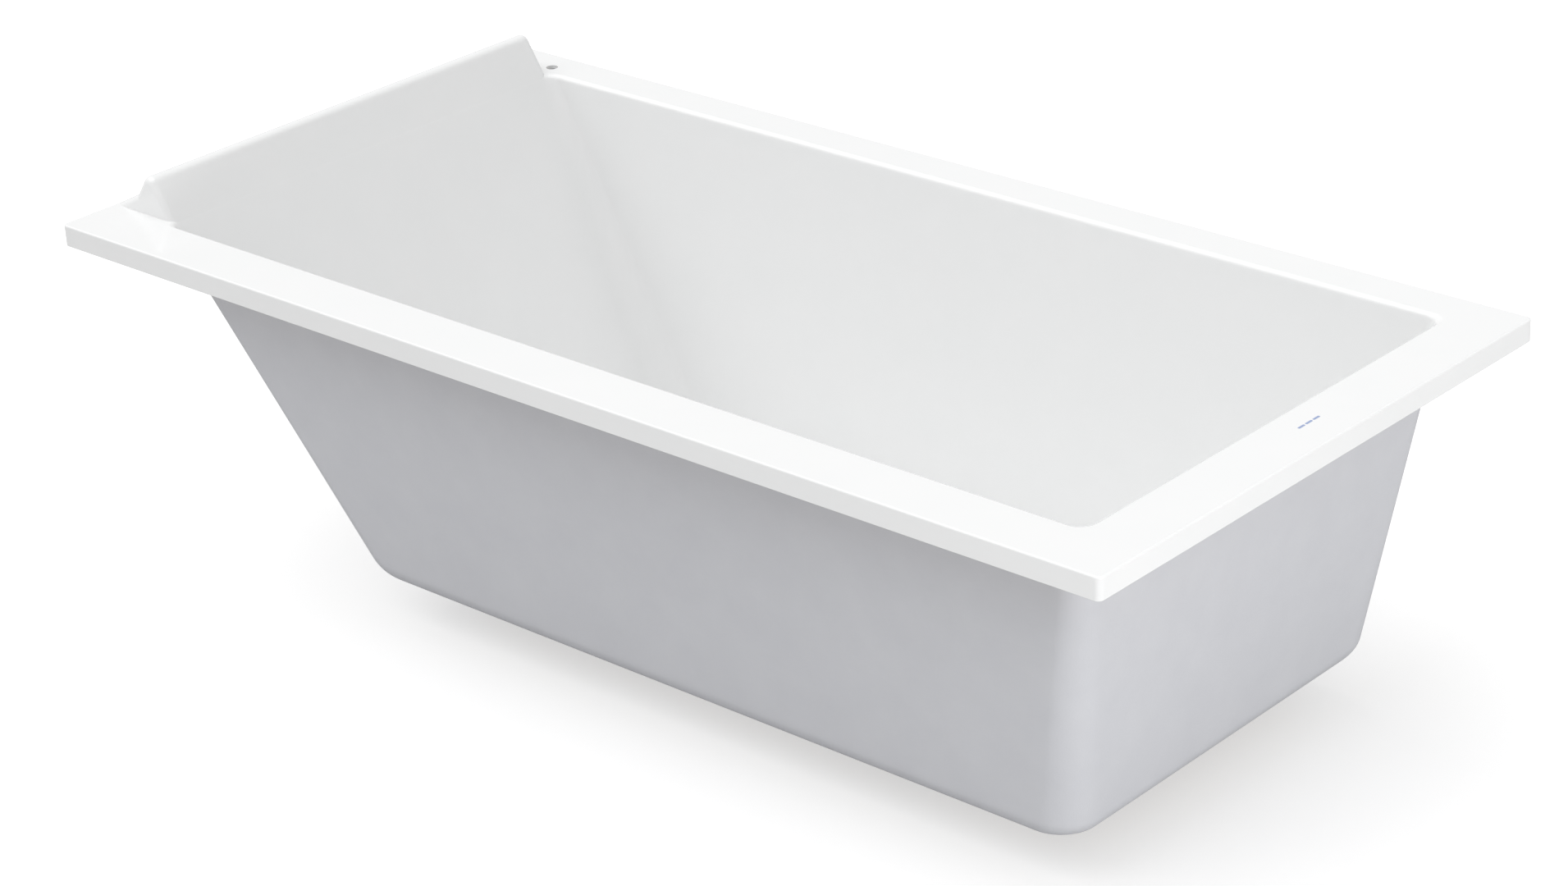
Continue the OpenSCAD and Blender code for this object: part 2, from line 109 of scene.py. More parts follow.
# Sanitary acrylic, vacuum-formed: glossy and slightly deep white. The sheet never draws quite
# flat, so reflections wander over about 140 mm, and wiping leaves the gloss a little uneven.
acrylic, tree, shader, place = material("sanitary_acrylic_gloss", IOR=1.49, Coat_Weight=0.25, Coat_Roughness=0.05)
cloudy = add(tree, "ShaderNodeTexNoise", {"Vector": place, "Scale": size(90), "Detail": 2.0})
white = add(tree, "ShaderNodeMixRGB", {"Fac": cloudy.outputs["Fac"], "Color1": linear("#eff0f0"),
                                       "Color2": linear("#f2f2f2")})
wiped = add(tree, "ShaderNodeTexNoise", {"Vector": place, "Scale": size(35), "Detail": 4.0, "Distortion": 1.2})
gloss = add(tree, "ShaderNodeMapRange", {"Value": wiped.outputs["Fac"], "From Min": 0.3, "From Max": 0.7,
                                         "To Min": 0.13, "To Max": 0.22})
drawn = add(tree, "ShaderNodeTexNoise", {"Vector": place, "Scale": size(140), "Detail": 1.0})
peel = add(tree, "ShaderNodeTexNoise", {"Vector": place, "Scale": size(4), "Detail": 2.0})
wave = add(tree, "ShaderNodeBump", {"Height": drawn.outputs["Fac"], "Strength": 0.12, "Distance": 0.004})
skin = add(tree, "ShaderNodeBump", {"Height": peel.outputs["Fac"], "Strength": 0.05, "Distance": 0.0002,
                                    "Normal": wave.outputs["Normal"]})
tree.links.new(white.outputs["Color"], shader.inputs["Base Color"])
tree.links.new(gloss.outputs["Result"], shader.inputs["Roughness"])
tree.links.new(skin.outputs["Normal"], shader.inputs["Normal"])


def solid(name, grids):
    """A mesh from grids of points in millimetres, given as (points, joined). Each grid is closed
    round its columns. Its last row meets its first where joined is true, and otherwise a flat face
    closes either end. A grid whose volume comes out negative is turned round, so faces point outwards."""
    points, faces = [], []
    for grid, joined in grids:
        rows, columns = grid.shape[:2]
        flat = grid.reshape(-1, 3)
        at = np.arange(rows * columns).reshape(rows, columns)
        around = np.concatenate([at, at[:, :1]], 1)
        around = np.concatenate([around, around[:1]]) if joined else around
        quads = np.stack([around[:-1, :-1], around[1:, :-1], around[1:, 1:], around[:-1, 1:]], -1).reshape(-1, 4)
        ends = [] if joined else [at[0], at[-1][::-1]]
        fans = [np.stack([np.full(len(e) - 2, e[0]), e[1:-1], e[2:]], 1) for e in ends]
        corner = flat[np.concatenate([quads[:, :3], quads[:, [0, 2, 3]], *fans])] - flat.mean(0)
        volume = np.einsum("ij,ij->i", corner[:, 0], np.cross(corner[:, 1], corner[:, 2])).sum()
        turn = 1 if volume > 0 else -1
        start = sum(len(p) for p in points)
        faces += [(start + face)[::turn].tolist() for face in [*quads, *ends]]
        points.append(flat)
    mesh = bpy.data.meshes.new(name)
    mesh.from_pydata((np.concatenate(points) * mm).tolist(), [], faces)
    return mesh


def piece(name, grids, finish, body, nodes=(), crease=35):
    """One finished piece from such grids."""
    return place_piece(name, solid(name, grids), finish, body, nodes, crease)


def place_piece(name, mesh, finish, body, nodes=(), crease=35):
    """Puts a mesh into the scene as a finished piece, shaded smooth up to the crease angle."""
    mesh.polygons.foreach_set("use_smooth", np.ones(len(mesh.polygons), bool))
    mesh.set_sharp_from_angle(angle=np.radians(crease))
    mesh.materials.clear()
    mesh.materials.append(finish)
    made = bpy.data.objects.new(name, mesh)
    bpy.context.scene.collection.objects.link(made)
    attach(made, body)
    if nodes:
        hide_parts(*nodes)
    return made


def ring(head, foot, near, far, r_head, r_foot, z):
    """Closed outlines seen from above, one row for each value given. Four straight sides are joined
    by quarter circles, of radius r_head at the head end and r_foot at the foot end. Each side has
    four more points, two of them close to its ends, which keep its shading flat."""
    head, foot, near, far, r_head, r_foot, z = np.broadcast_arrays(
        *np.atleast_1d(head, foot, near, far, r_head, r_foot, z))
    angle = np.radians(90 * np.arange(4)[:, None] + np.linspace(0, 90, 15))
    r = np.stack([r_foot, r_head, r_head, r_foot], 1)[:, :, None]
    x = np.stack([foot, head, head, foot], 1)[:, :, None] + r * (np.cos(angle) - [[1], [-1], [-1], [1]])
    y = np.stack([far, far, near, near], 1)[:, :, None] + r * (np.sin(angle) - [[1], [1], [-1], [-1]])
    corner = np.stack([x, y, np.broadcast_to(z[:, None, None], x.shape)], -1)
    reach = np.array([0.01, 0.35, 0.65, 0.99])[:, None]
    side = corner[:, :, -1:] * (1 - reach) + np.roll(corner, -1, 1)[:, :, :1] * reach
    return np.concatenate([corner, side], 2).reshape(len(x), -1, 3)


def wall_run(d, slope, off):
    """How far in a wall lies at depth d: straight down at its slope, then round a circle of radius
    floor_r into the floor. off moves it that far outwards, square to itself, for the sheet's back."""
    slope = np.radians(slope)
    r = floor_r + off
    centre_d = basin_d - floor_r
    bend = np.sqrt(np.maximum(0, r * r - (d - centre_d) ** 2))
    return np.where(d > centre_d + r * np.sin(slope), centre_d * np.tan(slope) + floor_r / np.cos(slope) - bend,
                    d * np.tan(slope) - off / np.cos(slope))


def edge_cut(d, slope):
    """What the rim's rounded inner edge takes off the wall at depth d: the gap between the sharp
    corner and a circle of radius edge_r that touches both the rim's top and the wall."""
    slope = np.radians(slope)
    gap = (edge_r * np.tan(np.pi / 4 - slope / 2) + d * np.tan(slope)
           - np.sqrt(np.maximum(0, edge_r ** 2 - (edge_r - d) ** 2)))
    return np.where(d >= edge_r * (1 - np.sin(slope)), 0, gap)


def basin(d, off=0.0, rounded=0.0):
    """Outlines of the basin at depths d, off behind its surface. Its corners widen evenly downwards."""
    d = np.atleast_1d(d).astype(float)
    k = d / (basin_d + off)
    side, foot, head = (wall_run(d, slope, off) - rounded * edge_cut(d, slope)
                        for slope in (side_slope, foot_slope, back_slope))
    return ring(head_edge + head_x + head, foot_edge - wall_foot - foot, near_edge + wall_near + side,
                far_edge - wall_far - side, head_corner + head_gain * k + off, foot_corner + foot_gain * k + off,
                rim_z - d)


def basin_floor(off):
    """The floor, from the waste outwards: a flat round patch, then a rise to the foot of the walls
    that eases in and out, as three t squared less two t cubed."""
    r = np.array([waste_r, waste_r + 1.5, 58, 60])
    base = rim_z - basin_d - off - floor_fall
    patch = ring(waste_x - r, waste_x + r, waste_y - r, waste_y + r, r - 0.5, r - 0.5, base)
    t = np.linspace(0, 1, 13)[1:-1, None, None]
    rise = patch[-1:] * (1 - t) + basin(basin_d + off, off) * t
    rise[:, :, 2] = base + (floor_fall * (3 * t ** 2 - 2 * t ** 3))[:, :, 0]
    return np.concatenate([patch, rise])


def basin_rows(off, top_d):
    """The basin's floor and walls, off behind its surface, up to the depth top_d."""
    bend = basin_d - floor_r + (floor_r + off) * np.sin(np.radians(np.linspace(90, side_slope, 16)))
    return np.concatenate([basin_floor(off), basin(bend, off),
                           basin([440.0, 330.0, 220.0, 110.0, top_d + 8, top_d], off)])


def rim(inset, drop):
    """The rim's outline, drawn in by inset, that far below its top."""
    inset = np.atleast_1d(inset).astype(float)
    r = np.maximum(0.5, rim_corner_r - inset)
    return ring(head_edge + inset, foot_edge - inset, near_edge + inset, far_edge - inset, r, r,
                rim_z - np.asarray(drop, float))


def column(outline, low, high):
    """A closed upright block over an outline seen from above."""
    return np.stack([np.column_stack([outline, np.full(len(outline), z)]) for z in (low, high)])


def combined(thing, grid, operation):
    """Cuts a closed grid out of a piece (DIFFERENCE) or joins it to the piece (UNION)."""
    tool = bpy.data.objects.new("tool", solid("tool", [(grid, False)]))
    bpy.context.scene.collection.objects.link(tool)
    step = thing.modifiers.new("step", "BOOLEAN")
    step.operation = operation
    step.solver = "EXACT"
    step.object = tool
    result = bpy.data.meshes.new_from_object(thing.evaluated_get(bpy.context.evaluated_depsgraph_get()))
    result.set_sharp_from_angle(angle=np.radians(35))
    thing.modifiers.clear()
    thing.data = result
    bpy.data.objects.remove(tool)


def round_hole(r, x, y):
    """The outline of a round hole."""
    angle = np.radians(np.arange(0, 360, 7.5))
    return np.stack([x + r * np.cos(angle), y + r * np.sin(angle)], 1)


half = np.radians(np.linspace(0, 90, 8))
inner = basin(edge_r * (1 - np.cos(np.radians(np.linspace(90 - side_slope, 0, 11)))), 0.0, 1.0)
across = np.array([0.02, 0.5, 0.98])[:, None, None]
lip = rim(lip_r * (1 - np.sin(half)), lip_r * (1 - np.cos(half)))
turn_in = rim([*(1 - np.cos(half)), *(sheet - 1 + np.cos(half[::-1]))],
              apron_h - 1 + np.sin([*half, *half[::-1]]))
shell_rows = np.concatenate([
    basin_rows(0.0, edge_r * (1 - np.sin(np.radians(side_slope))) + 2), inner,
    inner[-1:] * (1 - across) + lip[:1] * across, lip, rim([0, 0], [lip_r + 1, apron_h - 2]), turn_in,
    rim([sheet, sheet], [sheet + 2, sheet]), basin_rows(sheet, sheet)[::-1]])
shell = piece("tub_shell", [(shell_rows, True)], acrylic, "tub", ["acrylic_shell"])
combined(shell, column(round_hole(hole_r, hole_x, hole_y), rim_z - 20, rim_z + 5), "DIFFERENCE")

# ---- Raised headrest -----------------------------------------------------------------------
# The backrest runs on above the rim as a wedge, drawn from the same acrylic sheet: a ramp from
# the head edge, a steep back, a round crest, and a front in the plane of the basin's backrest.

end_r = 9.5                      # rounding of the headrest's two ends
crest_side = 12                  # from the basin's edge to either end
crest_h, crest_r = 56.0, 13.0
toe_x = 2.0                      # the ramp starts here, from the head edge
bend_at, ramp_h = 49.0, 24.0     # the ramp turns into the steep back here
root_z, tip_depth = -4.5, 30.0   # how far the back and the front reach into the sheet


def headrest_section(k):
    """Sections of the headrest, in distance from the head edge and height above the rim, one row for
    each inset k: a ramp, a steep back touching a circle of radius crest_r, that circle, and the front
    line at the backrest's slope. The front starts a hair proud and sinks into the sheet."""
    k = np.atleast_1d(k).astype(float)[:, None]
    slope = np.radians(back_slope)
    ramp = np.arctan2(ramp_h, bend_at - toe_x)
    centre_z = crest_h - crest_r
    centre_x = head_x - centre_z * np.tan(slope) - crest_r / np.cos(slope)
    away_x, away_z = centre_x - bend_at, centre_z - ramp_h
    back = np.arctan2(away_z, away_x) + np.arcsin(crest_r / np.hypot(away_x, away_z))
    share = k / (1 + np.cos(back - ramp))
    bend_x = bend_at + share * (np.sin(ramp) + np.sin(back))
    bend_z = ramp_h - share * (np.cos(ramp) + np.cos(back))
    foot_x, foot_z = toe_x + k, np.full_like(k, root_z)
    toe_z = np.maximum(root_z + 0.2, bend_z - (bend_x - foot_x) * np.tan(ramp))
    t = np.array([0.03, 0.5, 0.97])
    angle = back + np.pi / 2 + (slope - back - np.pi / 2) * np.linspace(0, 1, 15)
    arc_x, arc_z = centre_x + (crest_r - k) * np.cos(angle), centre_z + (crest_r - k) * np.sin(angle)
    tip_x, tip_z = head_x + tip_depth * np.tan(slope) - 0.12 - k / np.cos(slope), np.full_like(k, -tip_depth)
    x = [foot_x, foot_x, foot_x * (1 - t) + bend_x * t, bend_x, bend_x * (1 - t) + arc_x[:, :1] * t, arc_x,
         arc_x[:, -1:] * (1 - t) + tip_x * t, tip_x, tip_x - 18.8]
    z = [foot_z, toe_z, toe_z * (1 - t) + bend_z * t, bend_z, bend_z * (1 - t) + arc_z[:, :1] * t,
         arc_z, arc_z[:, -1:] * (1 - t) + tip_z * t, tip_z, foot_z]
    return np.concatenate(x, 1), np.concatenate(z, 1)


def headrest_block(k, low_z):
    """A plain block in the headrest, inset by k and cut off at low_z above the rim's top. It runs
    down along the ramp's toe and along the backrest's slope."""
    x, z = (v[0] for v in headrest_section(k))
    keep = z > root_z + 0.5
    slope = np.tan(np.radians(back_slope))
    x, z = x[keep], z[keep]
    x = np.array([toe_x + k, *x, x[-1] + (z[-1] - low_z) * slope])
    z = np.array([low_z, *z, low_z])
    return np.stack([np.column_stack([head_edge + x, np.full(len(x), y), rim_z + z])
                     for y in (start_y + k, end_y - k)])


start_y, end_y = near_edge + rim_near + crest_side, far_edge - rim_far - crest_side
inset = end_r * (1 - np.sin(half))
step = end_r * (1 - np.cos(half))
section_x, section_z = headrest_section([*inset, 0, 0, 0, *inset[::-1]])
rows_y = np.array([*(start_y + step), start_y + 14, (start_y + end_y) / 2, end_y - 14, *(end_y - step[::-1])])
headrest = np.stack([head_edge + section_x, np.broadcast_to(rows_y[:, None], section_x.shape),
                     rim_z + section_z], -1)
raised = piece("headrest", [(headrest, False)], acrylic, "tub")
for thing in (shell, raised):
    combined(thing, headrest_block(sheet - 0.05, -sheet - 0.5), "DIFFERENCE")

# ---- Maker's mark --------------------------------------------------------------------------
# A small pad-printed mark in the middle of the rim's foot end. It is a plain row of three
# dashes in slate-blue ink, a tenth of a millimetre thick.

ink, tree, shader, place = material("pad_printed_ink", IOR=1.5)
speck = add(tree, "ShaderNodeTexNoise", {"Vector": place, "Scale": size(0.6), "Detail": 2.0})
tone = add(tree, "ShaderNodeMixRGB", {"Fac": speck.outputs["Fac"], "Color1": linear("#8b9cc4"),
                                      "Color2": linear("#a3b1d2")})
dull = add(tree, "ShaderNodeMapRange", {"Value": speck.outputs["Fac"], "To Min": 0.3, "To Max": 0.5})
tree.links.new(tone.outputs["Color"], shader.inputs["Base Color"])
tree.links.new(dull.outputs["Result"], shader.inputs["Roughness"])
mark_x = foot_edge - 48.5
dashes = [(ring(mark_x - 1.8, mark_x + 1.8, y, y + 13, 1.2, 1.2, rim_z + np.array([-0.3, 0.12])), False)
          for y in (3.0, 18.5, 34.0)]
piece("rim_mark", dashes, ink, "tub")

# ---- Glass-fibre backing -------------------------------------------------------------------
# Chopped glass strands and polyester resin sprayed on the back of the sheet and rolled down,
# then topped with grey flow coat. It is the outside of the body: matt, and never quite even.

glassfibre, tree, shader, place = material("glass_fibre_flow_coat", IOR=1.5)
mottle = add(tree, "ShaderNodeTexNoise", {"Vector": place, "Scale": size(60), "Detail": 5.0, "Roughness": 0.55})
grey = add(tree, "ShaderNodeMixRGB", {"Fac": mottle.outputs["Fac"], "Color1": linear("#cbccd1"),
                                      "Color2": linear("#d3d4d8")})
pores = add(tree, "ShaderNodeTexNoise", {"Vector": place, "Scale": size(2.5), "Detail": 3.0})
matt = add(tree, "ShaderNodeMapRange", {"Value": pores.outputs["Fac"], "From Min": 0.3, "From Max": 0.7,
                                        "To Min": 0.48, "To Max": 0.66})
# strands are 0.3 mm thick and 50 mm long; drawn 1.5 mm thick so that they show, in three directions
height = pores.outputs["Fac"]
for turn_z in (0.2, 1.25, 2.3):
    lay = add(tree, "ShaderNodeMapping", {"Vector": place, "Rotation": (turn_z, turn_z * 0.7, turn_z),
                                          "Scale": (size(50), size(1.5), size(1.5))})
    strand = add(tree, "ShaderNodeTexNoise", {"Vector": lay.outputs["Vector"], "Scale": 1.0, "Detail": 1.0})
    height = add(tree, "ShaderNodeMath", {0: height, 1: strand.outputs["Fac"]}, operation="ADD").outputs["Value"]
rolled = add(tree, "ShaderNodeTexNoise", {"Vector": place, "Scale": size(45), "Detail": 2.0})
uneven = add(tree, "ShaderNodeBump", {"Height": rolled.outputs["Fac"], "Strength": 0.2, "Distance": 0.002})
coat = add(tree, "ShaderNodeBump", {"Height": height, "Strength": 0.22, "Distance": 0.0003,
                                    "Normal": uneven.outputs["Normal"]})
tree.links.new(grey.outputs["Color"], shader.inputs["Base Color"])
tree.links.new(matt.outputs["Result"], shader.inputs["Roughness"])
tree.links.new(coat.outputs["Normal"], shader.inputs["Normal"])

front, behind = sheet + bond, sheet + bond + backing_t
backing_rows = np.concatenate([
    basin_rows(front, front), rim([sheet + 1] * 4, [front, front + 1, behind - 1, behind]),
    basin_rows(behind, behind)[::-1]])
backing = piece("body_backing", [(backing_rows, True)], glassfibre, "tub", ["glassfibre_backing"])
combined(backing, headrest_block(front, -front - 0.4), "UNION")
combined(backing, headrest_block(behind - 0.05, -behind - 0.5), "DIFFERENCE")
combined(backing, column(round_hole(hole_r + 2, hole_x, hole_y), rim_z - 20, rim_z + 5), "DIFFERENCE")

# ---- Wooden battens ------------------------------------------------------------------------
# Sawn softwood strips bonded under the rim with resin, so that it takes a bather's weight. Their
# edges are eased. Grain runs along each one.


def eased(node, width, finish, body="tub", segments=3):
    """A copy of a CAD node with its doubles merged and its flat faces joined, and its edges rounded
    over by width. It stands for the node."""
    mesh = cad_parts[node].data.copy()
    shape = bmesh.new()
    shape.from_mesh(mesh)
    bmesh.ops.remove_doubles(shape, verts=shape.verts, dist=1e-6)
    bmesh.ops.dissolve_limit(shape, angle_limit=np.radians(1), verts=shape.verts, edges=shape.edges)
    shape.to_mesh(mesh)
    shape.free()
    made = place_piece(node + "_piece", mesh, finish, body, [node])
    edge = made.modifiers.new("edges", "BEVEL")
    edge.width = width * mm
    edge.segments = segments
    edge.limit_method = "ANGLE"
    edge.angle_limit = np.radians(40)
    edge.harden_normals = True


def softwood(name, along):
    """Sawn spruce: rings about 4 mm apart, stretched along the strip, with darker late wood and a
    rough sawn face. along is 0 where the grain runs along X and 1 where it runs along Y."""
    made, tree, shader, place = material(name, IOR=1.5)
    stretch = [size(4.0)] * 3
    stretch[along] = size(90)
    lay = add(tree, "ShaderNodeMapping", {"Vector": place, "Scale": stretch})
    grain = add(tree, "ShaderNodeTexNoise", {"Vector": lay.outputs["Vector"], "Scale": 1.0, "Detail": 4.0,
                                             "Distortion": 0.4})
    late = add(tree, "ShaderNodeMapRange", {"Value": grain.outputs["Fac"], "From Min": 0.35, "From Max": 0.68})
    wood = add(tree, "ShaderNodeMixRGB", {"Fac": late.outputs["Result"], "Color1": linear("#dcc095"),
                                          "Color2": linear("#b98f5c")})
    dry = add(tree, "ShaderNodeMapRange", {"Value": grain.outputs["Fac"], "To Min": 0.62, "To Max": 0.85})
    sawn = add(tree, "ShaderNodeBump", {"Height": grain.outputs["Fac"], "Strength": 0.4, "Distance": 0.0005})
    tree.links.new(wood.outputs["Color"], shader.inputs["Base Color"])
    tree.links.new(dry.outputs["Result"], shader.inputs["Roughness"])
    tree.links.new(sawn.outputs["Normal"], shader.inputs["Normal"])
    return made


long_wood, cross_wood = softwood("sawn_spruce_lengthways", 0), softwood("sawn_spruce_crossways", 1)
for side, wood in (("near", long_wood), ("far", long_wood), ("foot", cross_wood), ("head", cross_wood)):
    eased("batten_" + side, 1.5, wood)

# ---- Chipboard base ------------------------------------------------------------------------
# A 16 mm chipboard panel bonded under the floor, cut away round the waste. It spreads the load
# of the basin over the two leg rails. Raw: pressed chips of 3 to 8 mm in two browns.

chipboard, tree, shader, place = material("raw_chipboard", IOR=1.5)
chips = add(tree, "ShaderNodeTexVoronoi", {"Vector": place, "Scale": size(5), "Randomness": 1.0})
shade = add(tree, "ShaderNodeSeparateColor", {"Color": chips.outputs["Color"]})
brown = add(tree, "ShaderNodeMixRGB", {"Fac": shade.outputs["Red"], "Color1": linear("#c2a177"),
                                       "Color2": linear("#8f6d45")})
dust = add(tree, "ShaderNodeTexNoise", {"Vector": place, "Scale": size(1.2), "Detail": 3.0})
board = add(tree, "ShaderNodeMixRGB", {"Fac": dust.outputs["Fac"], "Color1": brown.outputs["Color"],
                                       "Color2": linear("#b6976c")})
flat = add(tree, "ShaderNodeMapRange", {"Value": dust.outputs["Fac"], "To Min": 0.7, "To Max": 0.9})
press = add(tree, "ShaderNodeBump", {"Height": chips.outputs["Distance"], "Strength": 0.3, "Distance": 0.0004})
tree.links.new(board.outputs["Color"], shader.inputs["Base Color"])
tree.links.new(flat.outputs["Result"], shader.inputs["Roughness"])
tree.links.new(press.outputs["Normal"], shader.inputs["Normal"])
eased("base_board", 0.6, chipboard, segments=2)

# ---- Leg rails and their fixings -----------------------------------------------------------
# Two channels folded from 2 mm steel and zinc-plated, screwed up into the board. A threaded bush
# is welded into each end, and a lock nut below it holds the foot's stud at its height.

zinc, tree, shader, place = material("zinc_plated_steel", Metallic=1.0)
spangle = add(tree, "ShaderNodeTexVoronoi", {"Vector": place, "Scale": size(3.5)})
grain = add(tree, "ShaderNodeSeparateColor", {"Color": spangle.outputs["Color"]})
film = add(tree, "ShaderNodeTexNoise", {"Vector": place, "Scale": size(14), "Detail": 4.0})
plated = add(tree, "ShaderNodeMixRGB", {"Fac": film.outputs["Fac"], "Color1": linear("#b9bfc6"),
                                        "Color2": linear("#c9c7bd")})
bloom = add(tree, "ShaderNodeMapRange", {"Value": grain.outputs["Red"], "To Min": 0.3, "To Max": 0.46})
tree.links.new(plated.outputs["Color"], shader.inputs["Base Color"])
tree.links.new(bloom.outputs["Result"], shader.inputs["Roughness"])

for end in ("head", "foot"):
    eased("leg_rail_" + end, 0.8, zinc)


def softened(corners, r, closed=False):
    """A profile whose corners are cut back by r along both sides and joined by a quadratic Bezier
    curve, with one more point beyond each end of the curve, which keeps the straights flat."""
    p = np.asarray(corners, float)
    before, after = np.roll(p, 1, 0) - p, np.roll(p, -1, 0) - p
    before, after = (v / np.linalg.norm(v, axis=1, keepdims=True) for v in (before, after))
    t = np.linspace(0, 1, 5)[None, :, None]
    start, end = (p + r * before)[:, None], (p + r * after)[:, None]
    bend = (1 - t) ** 2 * start + 2 * t * (1 - t) * p[:, None] + t ** 2 * end
    rows = np.concatenate([(p + 1.5 * r * before)[:, None], bend, (p + 1.5 * r * after)[:, None]], 1)
    return rows.reshape(-1, 2) if closed else np.concatenate([p[:1], rows[1:-1].reshape(-1, 2), p[-1:]])


def turned(radius, height, x, y, columns=64):
    """A profile of radii and heights carried round an upright axis at x, y. A radius may also have
    a value for each column."""
    angle = np.arange(columns) * 2 * np.pi / columns
    radius = np.asarray(radius, float)
    radius = radius[:, None] * np.ones(columns) if radius.ndim == 1 else radius
    return np.stack([x + radius * np.cos(angle), y + radius * np.sin(angle),
                     np.broadcast_to(np.asarray(height, float)[:, None], radius.shape)], -1)


def threaded(radius, pitch, z, columns):
    """Radii of a screw thread at heights z: a triangle wave in height, once a pitch, which climbs by
    one pitch in each turn, taken off the radius."""
    phase = (z[:, None] / pitch - np.arange(columns) / columns) % 1
    return radius - 0.6 * pitch * np.abs(2 * phase - 1)


rail_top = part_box("leg_rail_head")[1].z / mm
rails_x = [sum(c.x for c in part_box("leg_rail_" + end)) / 2 / mm for end in ("head", "foot")]
feet_y = [sum(c.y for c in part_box("foot_head_" + side)) / 2 / mm for side in ("near", "far")]
stations = [(x, y) for x in rails_x for y in feet_y]

# pan-head wood screws, driven up through the rail with 2 mm heads
head_line = softened([(1.7, rail_top - 3.9), (4.4, rail_top - 3.9), (4.4, rail_top - 2.1),
                      (2.2, rail_top - 2.1)], 0.6)
shank_z = np.linspace(rail_top - 2.0, rail_top + 8.5, 64)
screw = np.concatenate([np.repeat([[0.2], [0.9]], 24, 1), head_line[:, :1] * np.ones(24),
                        threaded(2.2, 1.6, shank_z, 24), [[0.6] * 24]])
screw_z = np.array([rail_top - 3.0, rail_top - 3.1, *head_line[:, 1], *shank_z, rail_top + 10.2])
piece("rail_screws_piece", [(turned(screw, screw_z, x, y + offset, 24), False)
                            for x, y in stations for offset in (-28, 28)],
      zinc, "tub", ["rail_screws"], 30)

bush = softened([(5.06, rail_top - 13), (9, rail_top - 13), (9, rail_top - 2), (5.06, rail_top - 2)], 0.5, True)
piece("threaded_bushes_piece", [(turned(*bush.T, x, y, 48), True) for x, y in stations],
      zinc, "tub", ["threaded_bushes"])

# hexagon nuts: flats at the distance the hexagon's radius gives, cut by a cone at both faces
angle = np.arange(96) * 2 * np.pi / 96
hexagon = 10 * np.cos(np.pi / 6) / np.cos((angle % (np.pi / 3)) - np.pi / 6)
rise = np.array([0, 0.25, 0.5, 0.75, 1.0, 1.2])
nut_low, nut_high = rail_top - 19, rail_top - 13.1
cone = np.minimum(hexagon, (8.4 + 1.7 * rise)[:, None])
nut = np.concatenate([np.full((1, 96), 5.4), np.full((1, 96), 8.0), cone, cone[::-1], np.full((1, 96), 8.0),
                      np.full((1, 96), 5.4), np.full((2, 96), 5.06)])
nut_z = np.array([nut_low, nut_low, *(nut_low + rise), *(nut_high - rise[::-1]), nut_high, nut_high,
                  nut_high - 0.4, nut_low + 0.4])
piece("lock_nuts_piece", [(turned(nut, nut_z, x, y, 96), True) for x, y in stations], zinc, "tub",
      ["lock_nuts"], 20)

# ---- Levelling feet ------------------------------------------------------------------------
# Four zinc-plated M10 studs, each welded to a pressed round plate that stands in a rubber pad.
# They are turned to level the tub, so each foot and its pad move up and down as one.

rubber, tree, shader, place = material("moulded_black_rubber", IOR=1.52)
bloom = add(tree, "ShaderNodeTexNoise", {"Vector": place, "Scale": size(8), "Detail": 4.0})
black = add(tree, "ShaderNodeMixRGB", {"Fac": bloom.outputs["Fac"], "Color1": linear("#232324"),
                                       "Color2": linear("#333436")})
dull = add(tree, "ShaderNodeMapRange", {"Value": bloom.outputs["Fac"], "To Min": 0.6, "To Max": 0.82})
fine = add(tree, "ShaderNodeTexNoise", {"Vector": place, "Scale": size(0.8), "Detail": 2.0})
pebble = add(tree, "ShaderNodeBump", {"Height": fine.outputs["Fac"], "Strength": 0.2, "Distance": 0.0002})
tree.links.new(black.outputs["Color"], shader.inputs["Base Color"])
tree.links.new(dull.outputs["Result"], shader.inputs["Roughness"])
tree.links.new(pebble.outputs["Normal"], shader.inputs["Normal"])

pad_h = 4.0
stud_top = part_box("foot_head_near")[1].z / mm
plate = softened([(0.3, pad_h), (25, pad_h), (25, 6.4), (22.5, pad_h + 4), (8, pad_h + 4), (8, 9.0), (5, 9.0)], 0.3)
stud_z = np.arange(9.3, stud_top - 1.2, 0.25)
foot = np.concatenate([plate[:, :1] * np.ones(32), threaded(5.0, 1.5, stud_z, 32), [[3.8] * 32], [[0.3] * 32]])
foot_z = np.array([*plate[:, 1], *stud_z, stud_top, stud_top])
ridge_r = np.linspace(0.4, 23.2, 73)
ridge_z = 0.35 * (1 - np.cos(ridge_r * 2 * np.pi / 3.8))
side_line = softened([(23.4, 0.05), (25, 0.05), (25, pad_h), (0.4, pad_h)], 0.4)
pad_line = np.concatenate([np.column_stack([ridge_r, ridge_z]), side_line])
for end, x in zip(("head", "foot"), rails_x):
    for side, y in zip(("near", "far"), feet_y):
        body = f"foot_{end[0]}{side[0]}"
        piece(f"levelling_foot_{end}_{side}", [(turned(foot, foot_z, x, y, 32), False)], zinc, body,
              [f"foot_{end}_{side}"])
        piece(f"rubber_pad_{end}_{side}", [(turned(*pad_line.T, x, y, 64), False)], rubber, body,
              [f"pad_{end}_{side}"])

# ---- Waste ---------------------------------------------------------------------------------
# A chrome-plated brass flange in the floor, clamped over rubber rings to a polypropylene body
# under it. The body's spigot turns the water towards the far side, into a plain outlet pipe.

